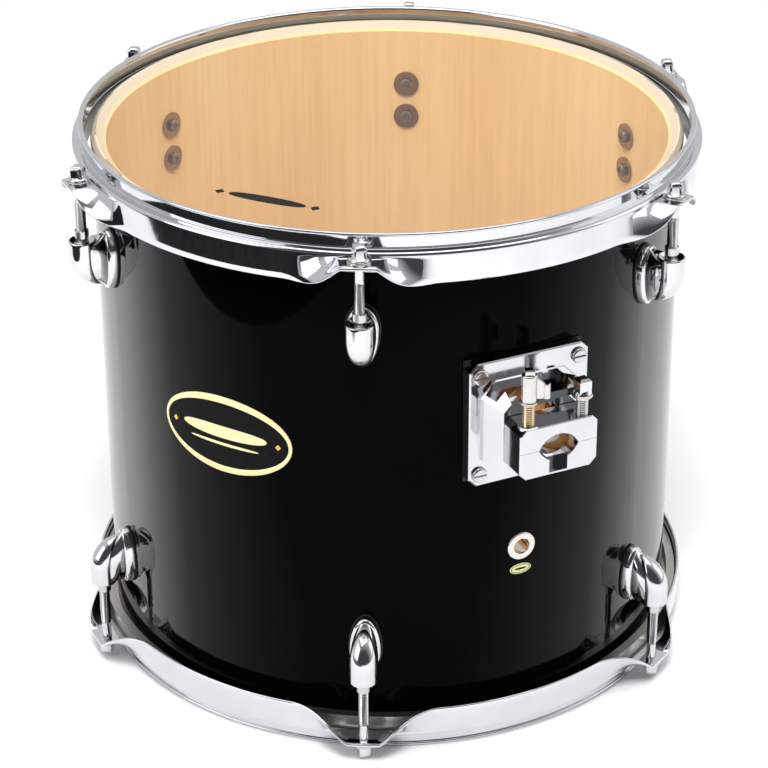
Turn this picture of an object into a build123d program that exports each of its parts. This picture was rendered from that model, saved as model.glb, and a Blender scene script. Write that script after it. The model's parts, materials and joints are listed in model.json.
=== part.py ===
from build123d import *
from math import cos, degrees, radians, sin, sqrt
import os

# A rack tom: a 12 in wooden drum with two clear heads, six lugs on each side and a tube-arm bracket.
# Frame: +Z up, origin on the drum's axis in the plane it stands on, bracket facing -Y.
# Every length is in millimetres. "depth" means distance from the nearer rim plane, along the axis.

# ---------------------------------------------------------------- driving dimensions
overall_height = 285.8          # rim to rim
shell_radius = 152.4            # outside of the wrap: a 12 in shell
wrap_thickness = 0.6
shell_wall = 7.2
rim_above_head = 5.4            # from the hoop's rim down to the playing surface
film_thickness = 0.25
lug_count = 6
front_lug_angle = -120.0        # azimuth of the lug beside the bracket
rod_circle = 168.0              # radius of the circle that the tension rods stand on
edge_crest = (149.2, 150.2)     # the flat top of the bearing edge, between these radii
edge_outer_cut = 2.8            # how far down its outer bevel starts
wrap_end_gap = 4.5              # bare wood between the wrap and the shell's edge
drill_span = (120.0, 200.0)     # distances that a radial hole is drilled between

# pressed hoop, measured on its outline
hoop_metal = 1.6
rim_inner_radius = 155.7
rim_outer_radius = 158.4
shoulder_depth = 8.1
skirt_radius = 161.9
skirt_depth = 23.8
hinge_depth = 11.0              # where the skirt starts to fan out into the ears
ear_half_width = 7.0            # flat part of an ear, each side of its rod
ear_blend = 38.0                # arc length from the rod to where the skirt hangs straight
ear_start = 0.08                # softens the bend where the flange leaves the ear
ear_settling = 1.8              # how gently the flange comes to hang straight
ear_hole_radius = 3.1
ear_facets = 11
ear_root = 0.95                 # how far the ear's metal runs into the hoop's shoulder
ear_inset = 0.05                # keeps the ear's faces just inside the skirt's where the two meet

# flesh hoop that grips the film
flesh_inner_radius = 155.25
flesh_outer_radius = 159.7
flesh_top_depth = 9.8
flesh_height = 9.0
flesh_inner_wall = 1.5
flesh_outer_wall = 1.2
flesh_channel_depth = 5.5
film_flat_radius = 150.8        # where the film turns down off the bearing edge
film_collar_foot = 17.3         # depth of the collar's lower end

# tension rods, 12-24 thread, and their washers
washer_top_depth = 8.7
washer_thickness = 1.5
rod_washer_radius = 5.8
rod_washer_hole = 2.95
rod_length = 45.0               # under the head
rod_shank_radius = 2.4
rod_thread_radius = 2.72
rod_thread_length = 26.0
key_square = 6.35               # quarter-inch drum key
rod_flange_radius = 5.1
rod_flange_top_radius = 3.9
rod_flange_height = 1.5
rod_top_depth = 1.2

# lugs
lug_base_top_depth = 38.2       # batter side
resonant_lug_extra_depth = 5.0  # the resonant lugs sit this much further from their rim
lug_base_length = 31.7
lug_base_half_width = 8.15
lug_base_blunt_length = 12.5    # the blunt end of the base, from its tip to its widest place
lug_base_front = 157.6
gasket_thickness = 0.8
bullet_radius = 7.0
bullet_rim_depth = 41.0
bullet_waist_depth = 49.5
bullet_tip_depth = 66.5         # the nose leans inwards and ends on the foot
bullet_tip_distance = 158.5     # from the drum's axis
bullet_layers = 7
neck_half_width = 6.2
nut_slot_half_width = 4.7
nut_slot_depths = (44.9, 55.4)
nut_collar_radius = 3.6
nut_collar_depths = (35.2, 39.3)
nut_neck_radius = 3.25
nut_neck_hole = 3.45
nut_body_radius = 4.35
nut_body_depths = (45.0, 55.0)
nut_bore_radius = 2.80
lug_screw_depths = (41.6, 61.2)
lug_screw_radius = 2.0
lug_screw_end = 158.8
lug_screw_head_radius = 3.5
lug_screw_head_height = 2.3
shell_screw_hole = 2.3
lug_washer_radius = 7.15
lug_washer_thickness = 1.2
inner_stand_off = 0.3           # flat washers touch the curved wall only at their edges

# tube-arm bracket
bracket_height = 182.5          # centre of the plate above the floor
plate_half_width = 32.2
plate_half_height = 33.2
plate_chamfer = 4.1
plate_face = 157.0              # distance of its face from the drum's axis
bracket_gasket_thickness = 1.0
hood_back_half_width = 26.6
hood_back_top = 23.0
hood_back_corner = 8.0
hood_front = 170.6
hood_front_half_width = 20.9
hood_front_top = 17.0
hood_front_corner = 4.8
hood_bottom = -17.0
hood_wall = 2.0                 # thickness of the hood's two side walls
hood_back_wall = 164.2          # the hood is open above, from the plate to this wall
hood_pocket_floor = -5.0
hood_ledge = 13.8               # top of the wall behind the jaws
hood_ledge_half_width = 17.0
jaw_front = 187.0
jaw_half_width = 20.9
jaw_bottom = -17.0
jaw_split = -2.7
jaw_gap = 0.15
jaw_corner = 3.6
cap_top = 9.9
cap_corner = 3.0
cap_back_gap = 0.5
arm_bore_radius = 11.2          # takes a 22.2 mm (7/8 in) tube
jaw_arc_radius = 11.45          # a little wider, so that the jaws' edges don't scrape the arm
plate_arm_hole = 12.0           # clearance behind the fixed boss
arm_height = 1.7                # axis of the arm's tube above the plate's centre
cap_lift = 8.8                  # how far the shut cap has to rise to make the bore round
key_slot_half_width = 4.9
key_slot_bottom = -15.6
key_slot_length = 7.0
bolt_distance = 182.7           # from the drum's axis
bolt_spacing = 28.8
bolt_hole_radius = 3.05
bolt_shank_radius = 2.65
bolt_tip = -14.5
plate_screw_x = 26.7
plate_screw_z = 26.5
plate_screw_radius = 2.4
plate_screw_head_radius = 4.0
plate_screw_head_height = 2.0
plate_screw_end = 133.5
plate_washer_radius = 5.0
plate_washer_thickness = 1.2
plate_nut_radius = 4.0          # across its flats, halved
plate_nut_height = 4.0
shell_arm_hole = 12.5

# wing bolt and key bolt, measured from the plate's centre height
wing_hub_radius = 3.8
wing_hub_heights = (23.4, 37.4)
wing_washer_thickness = 1.0
wing_washer_radius = 4.4
wing_nib = 4.6
wing_nib_top = 40.0
wing_reach = 8.2
wing_turn = 21.0                # degrees between the wing and the plate at rest
wing_pin_radius = 1.9
wing_pin_heights = (24.3, 32.2)
wing_plate_thickness = 2.4
cap_seat_radius = 5.0           # raised pad under the wing bolt, cut flush with the cap's front and back
cap_seat_height = 0.8
key_washer_heights = (19.4, 20.9)
key_washer_radius = 5.0
key_flange_radius = 4.6
key_flange_top_radius = 3.7
key_flange_top = 22.5
key_head_top = 29.0

# vent, label and badge
vent_height = 106.3
vent_flange_radius = 7.65
vent_tube_radius = 5.0
vent_hole_radius = 4.35
vent_flange_thickness = 0.9
label_height = 93.0
label_size = (11.9, 5.7)
badge_angle = -147.5
badge_height = 165.7
badge_size = (75.4, 41.6)
badge_thickness = 1.0

# ---------------------------------------------------------------- derived dimensions
middle_height = overall_height / 2
wood_radius = shell_radius - wrap_thickness
bore_radius = wood_radius - shell_wall
film_top = overall_height - rim_above_head
shell_top = film_top - film_thickness
lug_back = shell_radius + gasket_thickness
bracket_back = shell_radius + bracket_gasket_thickness
lug_angles = [front_lug_angle + 360.0 / lug_count * k for k in range(lug_count)]


def height(depth):
    return overall_height - depth


def ring(inner, outer, low, high):
    """A flat-sided ring round the drum's axis."""
    wall = Cylinder(outer, high - low) - Cylinder(inner, high - low)
    return Pos(0, 0, (low + high) / 2) * wall


def revolved(points, rounds=()):
    """Turn a closed outline of (radius, height) round the axis, its listed corners rounded."""
    outline = make_face(Polyline(*points, close=True))
    for corner, radius in rounds:
        spot = Vector(*corner)
        nearest = min(outline.vertices(), key=lambda v: (Vector(*v) - spot).length)
        outline = fillet(nearest, radius)
    return revolve(Plane.XZ * outline, Axis.Z)


def around(piece, angles):
    """Copies of a piece built at azimuth 0, one at each angle."""
    return [Rot(0, 0, angle) * piece for angle in angles]


def to_resonant(piece, shift=0.0):
    """The same piece on the lower side, as seen in a mirror at mid-height."""
    flipped = mirror(piece, about=Plane.XY.offset(middle_height))
    return Pos(0, 0, shift) * flipped


def radial_rod(radius, start, end, tangent=0.0, z=0.0):
    """A cylinder that lies along +X at azimuth 0, from one distance to another."""
    return Pos((start + end) / 2, tangent, z) * Rot(0, 90, 0) * Cylinder(radius, end - start)


def radial_block(sketch, start, end):
    """A sketch drawn in tangent and height, extruded outwards from one distance to another."""
    return extrude(Plane.YZ.offset(start) * sketch, end - start)


def upright(radius, low, high, x=0.0, y=0.0):
    return Pos(x, y, (low + high) / 2) * Cylinder(radius, high - low)


def drilled(radius, tangent=0.0, z=0.0):
    """A radial hole at azimuth 0, through the shell's wall and anything that stands on it."""
    return radial_rod(radius, *drill_span, tangent, z)


def plate_screw_places():
    """Tangent and height of the four plate screws."""
    corners = [(-1, -1), (-1, 1), (1, -1), (1, 1)]
    return [(side * plate_screw_x, bracket_height + level * plate_screw_z) for side, level in corners]


# ---------------------------------------------------------------- shell and wrap
def shell_holes():
    """Everything that passes through the shell, as solids to cut away."""
    holes = []
    for depth in lug_screw_depths:
        for z in (height(depth), depth + resonant_lug_extra_depth):
            holes += around(drilled(shell_screw_hole, z=z), lug_angles)
    at_front = [drilled(plate_screw_radius + 0.3, *place) for place in plate_screw_places()]
    at_front.append(drilled(shell_arm_hole, z=bracket_height + arm_height))
    at_front.append(drilled(vent_tube_radius + 0.1, z=vent_height))
    return holes + [Rot(0, 0, -90) * hole for hole in at_front]


def make_shell(holes):
    inner_crest, outer_crest = edge_crest
    upper = [
        (wood_radius, shell_top - edge_outer_cut),
        (outer_crest, shell_top),
        (inner_crest, shell_top),
        (bore_radius, shell_top - (inner_crest - bore_radius)),
    ]
    lower = [(r, overall_height - z) for r, z in reversed(upper)]
    return revolved(upper + lower) - holes


def make_wrap(holes):
    edge = shell_top - wrap_end_gap
    return ring(wood_radius, shell_radius, overall_height - edge, edge) - holes


# ---------------------------------------------------------------- heads
def make_film():
    """A clear disc that lies on the shell's edge, with a collar that runs down inside the flesh hoop."""
    outer = flesh_inner_radius - 0.05
    inner = outer - film_thickness
    foot = height(film_collar_foot)
    bend = height(flesh_top_depth + 0.8)
    top = [(0, film_top), (film_flat_radius, film_top), (outer, bend), (outer, foot)]
    under = [(inner, foot), (inner, bend - 0.1), (film_flat_radius - 0.2, shell_top), (0, shell_top)]
    return revolved(top + under)


def make_flesh_hoop():
    """Aluminium channel, open above, that holds the film's edge."""
    top = height(flesh_top_depth)
    body = ring(flesh_inner_radius, flesh_outer_radius, top - flesh_height, top)
    channel = (flesh_inner_radius + flesh_inner_wall, flesh_outer_radius - flesh_outer_wall)
    return body - ring(*channel, top - flesh_channel_depth, top + 1)


# ---------------------------------------------------------------- pressed hoops
def ear_angle(arc):
    """Tilt of the hoop's flange below level, in degrees: 0 at an ear, 90 where the skirt hangs."""
    part = min(max((abs(arc) - ear_half_width) / (ear_blend - ear_half_width), 0.0), 1.0)
    eased = part * part * (1 + ear_start) / (part + ear_start)
    return 90.0 * (1.0 - (1.0 - eased) ** ear_settling)


def flange_section(arc):
    """Cross-section of the flange at an arc length from an ear's middle, as a face in space."""
    hinge_radius = skirt_radius - hoop_metal / 2
    half_metal = hoop_metal / 2 - ear_inset
    tilt = radians(ear_angle(arc))
    start = -ear_root * cos(tilt)
    end = skirt_depth - hinge_depth - ear_inset
    corners = []
    for run, side in ((start, -1), (end, -1), (end, 1), (start, 1)):
        radius = hinge_radius + run * cos(tilt) + side * half_metal * sin(tilt)
        z = height(hinge_depth) - run * sin(tilt) + side * half_metal * cos(tilt)
        corners.append((radius, 0, z))
    return Rot(0, 0, degrees(arc / hinge_radius)) * make_face(Polyline(*corners, close=True))


def make_hoop():
    """Rim, wall, shoulder over the flesh hoop, and a flange that hangs as a skirt or stands out as an ear."""
    inner_skirt = skirt_radius - hoop_metal
    wall_outer = rim_inner_radius + hoop_metal
    outline = [
        (rim_inner_radius, height(0)),
        (rim_outer_radius, height(0)),
        (rim_outer_radius, height(hoop_metal)),
        (wall_outer, height(hoop_metal)),
        (wall_outer, height(shoulder_depth)),
        (skirt_radius, height(shoulder_depth)),
        (skirt_radius, height(skirt_depth)),
        (inner_skirt, height(skirt_depth)),
        (inner_skirt, height(shoulder_depth + hoop_metal)),
        (rim_inner_radius, height(shoulder_depth + hoop_metal)),
    ]
    rounds = [
        ((rim_inner_radius, height(0)), 1.2),
        ((skirt_radius, height(shoulder_depth)), 2.2),
        ((rim_inner_radius, height(shoulder_depth + hoop_metal)), 1.2),
        ((wall_outer, height(shoulder_depth)), 0.8),
    ]
    hoop = revolved(outline, rounds)
    blend_angle = degrees(ear_blend / (skirt_radius - hoop_metal / 2))
    window_top = height(hinge_depth + ear_root)
    window = make_face(
        Polyline(
            (inner_skirt - 1, 0, window_top),
            (skirt_radius + 1, 0, window_top),
            (skirt_radius + 1, 0, height(skirt_depth + 1)),
            (inner_skirt - 1, 0, height(skirt_depth + 1)),
            close=True,
        )
    )
    window = Rot(0, 0, -blend_angle) * revolve(window, Axis.Z, 2 * blend_angle)
    hoop -= around(window, lug_angles)
    half_arcs = [ear_half_width + (ear_blend - ear_half_width) * k / ear_facets for k in range(ear_facets + 1)]
    half_arcs.append(ear_blend + 1.0)
    arcs = [-arc for arc in reversed(half_arcs)] + [0.0] + half_arcs
    ear = loft([flange_section(arc) for arc in arcs], ruled=True)
    ear -= upright(ear_hole_radius, height(hinge_depth + 5), height(hinge_depth - 5), x=rod_circle)
    for angle in lug_angles:
        hoop += Rot(0, 0, angle) * ear
    return hoop


# ---------------------------------------------------------------- tension rods
def make_rod():
    """Square-headed tension rod with a flange under the head; its thread is drawn as a plain cylinder."""
    seat = height(washer_top_depth)
    top = height(rod_top_depth)
    foot = seat - rod_length
    flange = Cone(rod_flange_radius, rod_flange_top_radius, rod_flange_height)
    flange = Pos(0, 0, seat + rod_flange_height / 2) * flange
    square = Pos(0, 0, (seat + 1 + top) / 2) * Box(key_square, key_square, top - seat - 1)
    square = chamfer(square.faces().sort_by(Axis.Z)[-1].edges(), 1.4)
    shank = upright(rod_shank_radius, foot + rod_thread_length - 1, seat + 0.5)
    thread = upright(rod_thread_radius, foot, foot + rod_thread_length)
    thread = chamfer(thread.edges().sort_by(Axis.Z)[0], 0.8)
    return Pos(rod_circle, 0, 0) * (flange + square + shank + thread)


def make_rod_washer():
    seat = height(washer_top_depth)
    disc = upright(rod_washer_radius, seat - washer_thickness, seat)
    disc = fillet(disc.edges().sort_by(Axis.Z)[-1], 0.5)
    return Pos(rod_circle, 0, 0) * (disc - upright(rod_washer_hole, seat - 2, seat + 1))


# ---------------------------------------------------------------- lugs
def lug_base_sketch(grow=0.0):
    """Almond outline of a lug's foot, blunt towards the rim and drawn out at the other end."""
    top = height(lug_base_top_depth) + grow
    widest = height(lug_base_top_depth + lug_base_blunt_length)
    tip = height(lug_base_top_depth + lug_base_length) - grow
    half = lug_base_half_width + grow
    blunt = Pos(0, widest) * Ellipse(half, top - widest)
    drawn = Pos(0, widest) * Ellipse(half, widest - tip)
    upper_side = Pos(0, widest + 50) * Rectangle(100, 100)
    lower_side = Pos(0, widest - 50) * Rectangle(100, 100)
    return (blunt & upper_side) + (drawn & lower_side)


def make_lug_casing():
    """Die-cast bullet that holds the swivel nut, carried by a neck on an almond foot."""
    foot = radial_block(lug_base_sketch(), lug_back - 6, lug_base_front)
    foot = fillet(foot.faces().sort_by(Axis.X)[-1].edges(), 1.6)
    rim = height(bullet_rim_depth)
    waist = height(bullet_waist_depth)
    tip = height(bullet_tip_depth)
    bullet = upright(bullet_radius, waist - 1, rim, x=rod_circle)
    layers = []
    for k in range(bullet_layers + 1):
        turn = radians(4.0 + 80.0 * k / bullet_layers)
        radius = bullet_radius * cos(turn)
        centre = bullet_tip_distance + (rod_circle - bullet_tip_distance) * cos(turn)
        back = lug_back - 1
        outline = Pos(centre, 0) * Circle(radius) + Pos((back + centre) / 2, 0) * Rectangle(centre - back, 2 * radius)
        layers.append(Plane.XY.offset(waist + (tip - waist) * sin(turn)) * outline)
    nose = loft(layers, ruled=True)
    neck_side = make_face(
        Polyline(
            (lug_back - 1, height(lug_base_top_depth + 2.2)),
            (rod_circle - 4.5, rim - 0.6),
            (rod_circle, rim - 0.6),
            (rod_circle, waist - 3),
            (lug_back - 1, waist - 3),
            close=True,
        )
    )
    neck = extrude(Plane.XZ.offset(-neck_half_width) * neck_side, 2 * neck_half_width)
    casing = foot + (bullet + nose + neck)
    dish = Pos(rod_circle, 0, rim + 9.2) * Sphere(11.2)
    casing -= dish
    casing -= upright(nut_neck_hole, height(nut_slot_depths[0] + 1), rim + 1, x=rod_circle)
    slot_low = height(nut_slot_depths[1])
    slot_high = height(nut_slot_depths[0])
    slot_start = lug_back - 8
    slot = Box(rod_circle - slot_start, 2 * nut_slot_half_width, slot_high - slot_low)
    slot = Pos((slot_start + rod_circle) / 2, 0, (slot_low + slot_high) / 2) * slot
    casing -= slot + upright(nut_slot_half_width, slot_low, slot_high, x=rod_circle)
    for depth in lug_screw_depths:
        casing -= radial_rod(lug_screw_radius + 0.05, lug_back - 8, lug_screw_end + 0.6, z=height(depth))
    return casing - upright(lug_back, 0, overall_height)


def make_lug_gasket():
    pad = radial_block(lug_base_sketch(grow=0.5), shell_radius - 4, lug_back + 4)
    pad &= ring(shell_radius + 0.03, lug_back - 0.03, 0, overall_height)
    slot_low = height(nut_slot_depths[1])
    slot_high = height(nut_slot_depths[0])
    window = Box(30, 2 * nut_slot_half_width, slot_high - slot_low)
    pad -= Pos(shell_radius, 0, (slot_low + slot_high) / 2) * window
    for depth in lug_screw_depths:
        pad -= drilled(shell_screw_hole, z=height(depth))
    return pad


def make_swivel_nut():
    """Nut that can tilt in its lug: a collar outside, a thin neck through the dish, and a body inside."""
    collar = upright(nut_collar_radius, height(nut_collar_depths[1]), height(nut_collar_depths[0]))
    collar = chamfer(collar.edges().sort_by(Axis.Z)[-1], 0.5)
    neck = upright(nut_neck_radius, height(nut_body_depths[0] + 0.5), height(nut_collar_depths[1] - 0.5))
    body = upright(nut_body_radius, height(nut_body_depths[1]), height(nut_body_depths[0]))
    bore = upright(nut_bore_radius, height(nut_body_depths[1] + 1), height(nut_collar_depths[0] - 1))
    return Pos(rod_circle, 0, 0) * (collar + neck + body - bore)


def make_nut_retainer():
    """Plastic block that fills the slot behind a nut, so that it can't fall back."""
    low = height(nut_slot_depths[1]) + 0.2
    high = height(nut_slot_depths[0]) - 0.2
    start = lug_back + 0.4
    end = rod_circle - nut_body_radius - 0.4
    block = Box(end - start, 2 * nut_slot_half_width - 0.4, high - low)
    return Pos((start + end) / 2, 0, (low + high) / 2) * block


def make_lug_screws():
    screws = []
    head_end = bore_radius - inner_stand_off - lug_washer_thickness
    for depth in lug_screw_depths:
        z = height(depth)
        head = radial_rod(lug_screw_head_radius, head_end - lug_screw_head_height, head_end, z=z)
        head = fillet(head.faces().sort_by(Axis.X)[0].edges(), 1.0)
        for turn in (0, 90):
            cross = Rot(turn, 0, 0) * Box(1.6, 3.6, 0.8)
            head -= Pos(head_end - lug_screw_head_height, 0, z) * cross
        screws.append(head + radial_rod(lug_screw_radius, head_end - 0.5, lug_screw_end, z=z))
    return screws


def make_lug_washers():
    end = bore_radius - inner_stand_off
    washers = []
    for depth in lug_screw_depths:
        z = height(depth)
        disc = radial_rod(lug_washer_radius, end - lug_washer_thickness, end, z=z)
        washers.append(disc - drilled(lug_screw_radius + 0.2, z=z))
    return washers


# ---------------------------------------------------------------- tube-arm bracket, built at azimuth 0
def octagon_top(half_width, top, corner, bottom):
    """Outline with two cut upper corners, in tangent and height from the plate's centre."""
    points = [
        (-half_width, bottom),
        (half_width, bottom),
        (half_width, top - corner),
        (half_width - corner, top),
        (corner - half_width, top),
        (-half_width, top - corner),
    ]
    return make_face(Polyline(*points, close=True))


def make_bracket():
    plate_outline = chamfer(Rectangle(2 * plate_half_width, 2 * plate_half_height).vertices(), plate_chamfer)
    plate = radial_block(plate_outline, bore_radius, plate_face)
    plate = chamfer(plate.faces().sort_by(Axis.X)[-1].edges(), 0.7)
    back = octagon_top(hood_back_half_width, hood_back_top, hood_back_corner, hood_bottom - 1.5)
    front = octagon_top(hood_front_half_width, hood_front_top, hood_front_corner, hood_bottom)
    hood = loft([Plane.YZ.offset(plate_face - 0.5) * back, Plane.YZ.offset(hood_front) * front], ruled=True)
    pocket_start = plate_face + 0.8
    pocket_height = hood_back_top + 5 - hood_pocket_floor
    pocket_middle = hood_pocket_floor + pocket_height / 2
    pocket_ends = []
    for distance in (pocket_start, hood_back_wall):
        part = (distance - plate_face) / (hood_front - plate_face)
        half_width = hood_back_half_width + (hood_front_half_width - hood_back_half_width) * part - hood_wall
        opening = Pos(0, pocket_middle) * Rectangle(2 * half_width, pocket_height)
        pocket_ends.append(Plane.YZ.offset(distance) * opening)
    hood -= loft(pocket_ends, ruled=True)
    notch_height = hood_back_top - hood_ledge
    notch = Box(hood_front - hood_back_wall + 2, 2 * hood_ledge_half_width, notch_height)
    hood -= Pos((hood_back_wall + hood_front) / 2, 0, hood_ledge + notch_height / 2) * notch
    jaw_outline = Pos(0, (jaw_bottom + jaw_split) / 2) * Rectangle(2 * jaw_half_width, jaw_split - jaw_bottom)
    lower_corners = jaw_outline.vertices().sort_by(Axis.Y)[:2]
    jaw = radial_block(chamfer(lower_corners, jaw_corner), hood_front - 1, jaw_front)
    jaw = chamfer(jaw.faces().sort_by(Axis.X)[-1].edges().sort_by(Axis.Z)[:-1], 0.5)
    jaw -= radial_rod(jaw_arc_radius, hood_front, jaw_front + 1, z=arm_height)
    slot_height = arm_height - key_slot_bottom
    slot = Box(key_slot_length, 2 * key_slot_half_width, slot_height)
    jaw -= Pos(jaw_front - key_slot_length / 2, 0, key_slot_bottom + slot_height / 2) * slot
    for side in (-1, 1):
        jaw -= upright(bolt_shank_radius + 0.05, jaw_bottom - 1, 0, x=bolt_distance, y=side * bolt_spacing / 2)
    casting = plate + hood + jaw
    casting -= radial_rod(plate_arm_hole, drill_span[0], hood_back_wall, z=arm_height)
    casting -= radial_rod(arm_bore_radius, hood_back_wall - 1, hood_front, z=arm_height)
    casting = Pos(0, 0, bracket_height) * casting
    for place in plate_screw_places():
        casting -= drilled(plate_screw_radius + 0.2, *place)
    return casting - upright(bracket_back, 0, overall_height)


def make_bracket_gasket():
    outline = Pos(0, bracket_height) * Rectangle(2 * plate_half_width - 1.0, 2 * plate_half_height - 1.0)
    pad = radial_block(outline, *drill_span) & ring(shell_radius + 0.03, bracket_back - 0.03, 0, overall_height)
    pad -= drilled(plate_arm_hole, z=bracket_height + arm_height)
    for place in plate_screw_places():
        pad -= drilled(plate_screw_radius + 0.3, *place)
    return pad


def make_bracket_screw(tangent, z):
    top = plate_face + plate_screw_head_height
    head = radial_rod(plate_screw_head_radius, plate_face + 0.02, top, tangent, z)
    head = fillet(head.faces().sort_by(Axis.X)[-1].edges(), 1.2)
    groove = Pos(top, tangent, z) * Box(1.8, 10, 1.1)
    return head - groove + radial_rod(plate_screw_radius, plate_screw_end, plate_face + 0.5, tangent, z)


def plate_washer_end():
    """How far out a flat washer can sit inside the curved shell at a plate screw."""
    return sqrt(bore_radius**2 - (plate_screw_x + plate_washer_radius) ** 2) - 0.05


def make_bracket_washer(tangent, z):
    end = plate_washer_end()
    disc = radial_rod(plate_washer_radius, end - plate_washer_thickness, end, tangent, z)
    return disc - drilled(plate_screw_radius + 0.2, tangent, z)


def make_bracket_nut(tangent, z):
    end = plate_washer_end() - plate_washer_thickness - 0.02
    hexagon = Pos(tangent, z) * RegularPolygon(plate_nut_radius, 6, major_radius=False)
    return radial_block(hexagon, end - plate_nut_height, end) - drilled(plate_screw_radius + 0.05, tangent, z)


def make_clamp_cap():
    """Upper jaw, which lifts along the two bolts to let the arm's tube in."""
    low = jaw_split + jaw_gap
    outline = Pos(0, (low + cap_top) / 2) * Rectangle(2 * jaw_half_width, cap_top - low)
    upper_corners = outline.vertices().sort_by(Axis.Y)[-2:]
    cap = radial_block(chamfer(upper_corners, cap_corner), hood_front + cap_back_gap, jaw_front)
    cap = chamfer(cap.faces().sort_by(Axis.X)[-1].edges().sort_by(Axis.Z)[1:], 0.5)
    seat = upright(cap_seat_radius, cap_top - 1, cap_top + cap_seat_height, bolt_distance, -bolt_spacing / 2)
    seat_limits = Pos(0, cap_top) * Rectangle(2 * jaw_half_width, cap_top)
    cap += seat & radial_block(seat_limits, hood_front + cap_back_gap + 1, jaw_front - 0.1)
    cap -= radial_rod(jaw_arc_radius, hood_front, jaw_front + 1, z=arm_height - cap_lift)
    for side in (-1, 1):
        cap -= upright(bolt_hole_radius, low - 1, cap_top + 3, x=bolt_distance, y=side * bolt_spacing / 2)
    return Pos(0, 0, bracket_height) * cap


def make_wing_bolt():
    """Thumb bolt: a hub with one flat wing that ends in a short pin, and a square nib for a drum key."""
    low, high = wing_hub_heights
    hub = upright(wing_hub_radius, low, high)
    hub = fillet(hub.edges().sort_by(Axis.Z)[-1], 0.8)
    nib = Pos(0, 0, (high + wing_nib_top) / 2 - 0.5) * Box(wing_nib, wing_nib, wing_nib_top - high + 1)
    nib = chamfer(nib.faces().sort_by(Axis.Z)[-1].edges(), 0.6)
    bolt = hub + nib + upright(bolt_shank_radius, bolt_tip, low + 1)
    wing_outline = make_face(
        Polyline(
            (0, low + 1.2),
            (wing_reach, wing_pin_heights[0] + 0.6),
            (wing_reach, wing_pin_heights[1] - 0.6),
            (wing_hub_radius - 0.6, high - 1.6),
            (0, high - 1.6),
            close=True,
        )
    )
    bolt += extrude(Plane.XZ.offset(-wing_plate_thickness / 2) * wing_outline, wing_plate_thickness)
    pin = upright(wing_pin_radius, *wing_pin_heights, x=wing_reach)
    bolt += chamfer(pin.edges().filter_by(GeomType.CIRCLE), 0.4)
    place = Pos(bolt_distance, -bolt_spacing / 2, bracket_height)
    return place * Rot(0, 0, 90 - wing_turn) * bolt


def make_wing_washer():
    high = wing_hub_heights[0] - 0.02
    disc = upright(wing_washer_radius, high - wing_washer_thickness, high)
    disc -= upright(bolt_shank_radius + 0.06, 0, wing_nib_top)
    return Pos(bolt_distance, -bolt_spacing / 2, bracket_height) * disc


def make_key_bolt():
    """Square-headed bolt that a drum key turns."""
    flange_low = key_washer_heights[1] + 0.02
    flange = Cone(key_flange_radius, key_flange_top_radius, key_flange_top - flange_low)
    flange = Pos(0, 0, (flange_low + key_flange_top) / 2) * flange
    square = Pos(0, 0, (flange_low + key_head_top) / 2) * Box(key_square, key_square, key_head_top - flange_low)
    square = chamfer(square.faces().sort_by(Axis.Z)[-1].edges(), 1.2)
    bolt = flange + square + upright(bolt_shank_radius, bolt_tip, flange_low + 0.5)
    return Pos(bolt_distance, bolt_spacing / 2, bracket_height) * bolt


def make_key_washer():
    disc = upright(key_washer_radius, *key_washer_heights) - upright(bolt_shank_radius + 0.06, 0, wing_nib_top)
    return Pos(bolt_distance, bolt_spacing / 2, bracket_height) * disc


# ---------------------------------------------------------------- vent, label, badge
def make_vent_grommet():
    """Flanged eyelet through the shell wall."""
    face = shell_radius + 0.05
    flange = radial_rod(vent_flange_radius, face, face + vent_flange_thickness, z=vent_height)
    flange = fillet(flange.faces().sort_by(Axis.X)[-1].edges(), 0.7)
    tube = radial_rod(vent_tube_radius, bore_radius - 1.4, face + 0.5, z=vent_height)
    return flange + tube - drilled(vent_hole_radius, z=vent_height)


def make_vent_ring():
    end = bore_radius - inner_stand_off
    disc = radial_rod(vent_flange_radius, end - 1.0, end, z=vent_height)
    return disc - drilled(vent_tube_radius + 0.05, z=vent_height)


def curved_oval(size, z, thickness):
    """A thin oval that follows the wrap, centred at azimuth 0."""
    outline = Pos(0, z) * Ellipse(size[0] / 2, size[1] / 2)
    skin = ring(shell_radius + 0.03, shell_radius + thickness, z - size[1], z + size[1])
    return radial_block(outline, shell_radius - 12, shell_radius + 12) & skin


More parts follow.
